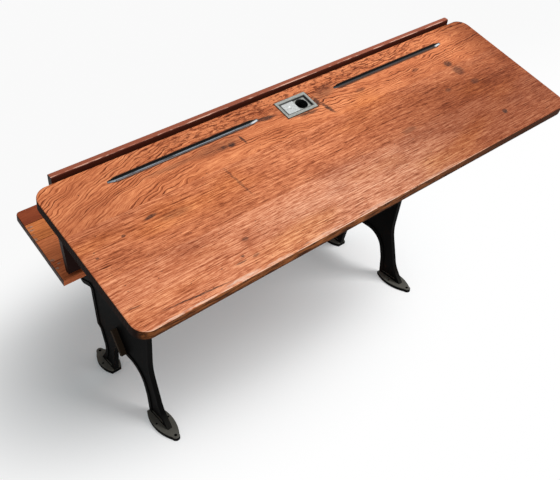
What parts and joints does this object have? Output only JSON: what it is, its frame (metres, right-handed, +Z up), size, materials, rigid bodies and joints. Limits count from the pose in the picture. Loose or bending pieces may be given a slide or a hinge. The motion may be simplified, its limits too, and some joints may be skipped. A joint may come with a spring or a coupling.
{
  "type": "school desk",
  "caption": "Sloping school desk for sharing, on cast-iron standards, with pencil grooves, a sliding-lid inkwell, and a slatted back and tip-up seat for the row in front.",
  "frame": {"origin": "middle of the overall length and depth, on the floor", "axes": "+X along the desk's length, -Y towards the writers, +Y towards the seat, +Z up"},
  "size_m": [1.067, 0.5758, 0.7072],
  "materials": {
    "top_oak": "worn varnish",
    "back_oak": "dark varnish",
    "seat_oak": "worn varnish",
    "black_iron": "black paint",
    "dark_steel": "aged",
    "inkwell_metal": "worn nickel",
    "inkwell_glass": "dark glass"
  },
  "bodies": {
    "desk": {"top_board_front": "top_oak", "top_board_middle": "top_oak", "top_board_rear": "top_oak", "back_rail": "back_oak", "back_slat_upper": "back_oak", "back_slat_lower": "back_oak", "back_board_bottom": "back_oak", "left_standard": "black_iron", "right_standard": "black_iron", "seat_hinge_pin_left": "dark_steel", "seat_hinge_pin_right": "dark_steel", "top_screws": "dark_steel", "back_bolts": "dark_steel", "inkwell_frame": "inkwell_metal", "inkwell_cup": "inkwell_glass"},
    "seat": {"seat_slat_1": "seat_oak", "seat_slat_2": "seat_oak", "seat_slat_3": "seat_oak", "seat_slat_4": "seat_oak", "seat_arm_left": "black_iron", "seat_arm_right": "black_iron", "seat_screws": "dark_steel"},
    "lid": {"inkwell_lid": "inkwell_metal"}
  },
  "joints": [
    {"name": "seat_tip_up", "type": "hinge", "parent": "desk", "child": "seat", "pos_m": [0, 0.14737, 0.41228], "axis": [1, 0, 0], "range_deg": [0, 70]},
    {"name": "inkwell_lid_slide", "type": "slide", "parent": "desk", "child": "lid", "axis": [1, 0, 0], "range_m": [0, 0.031]}
  ]
}
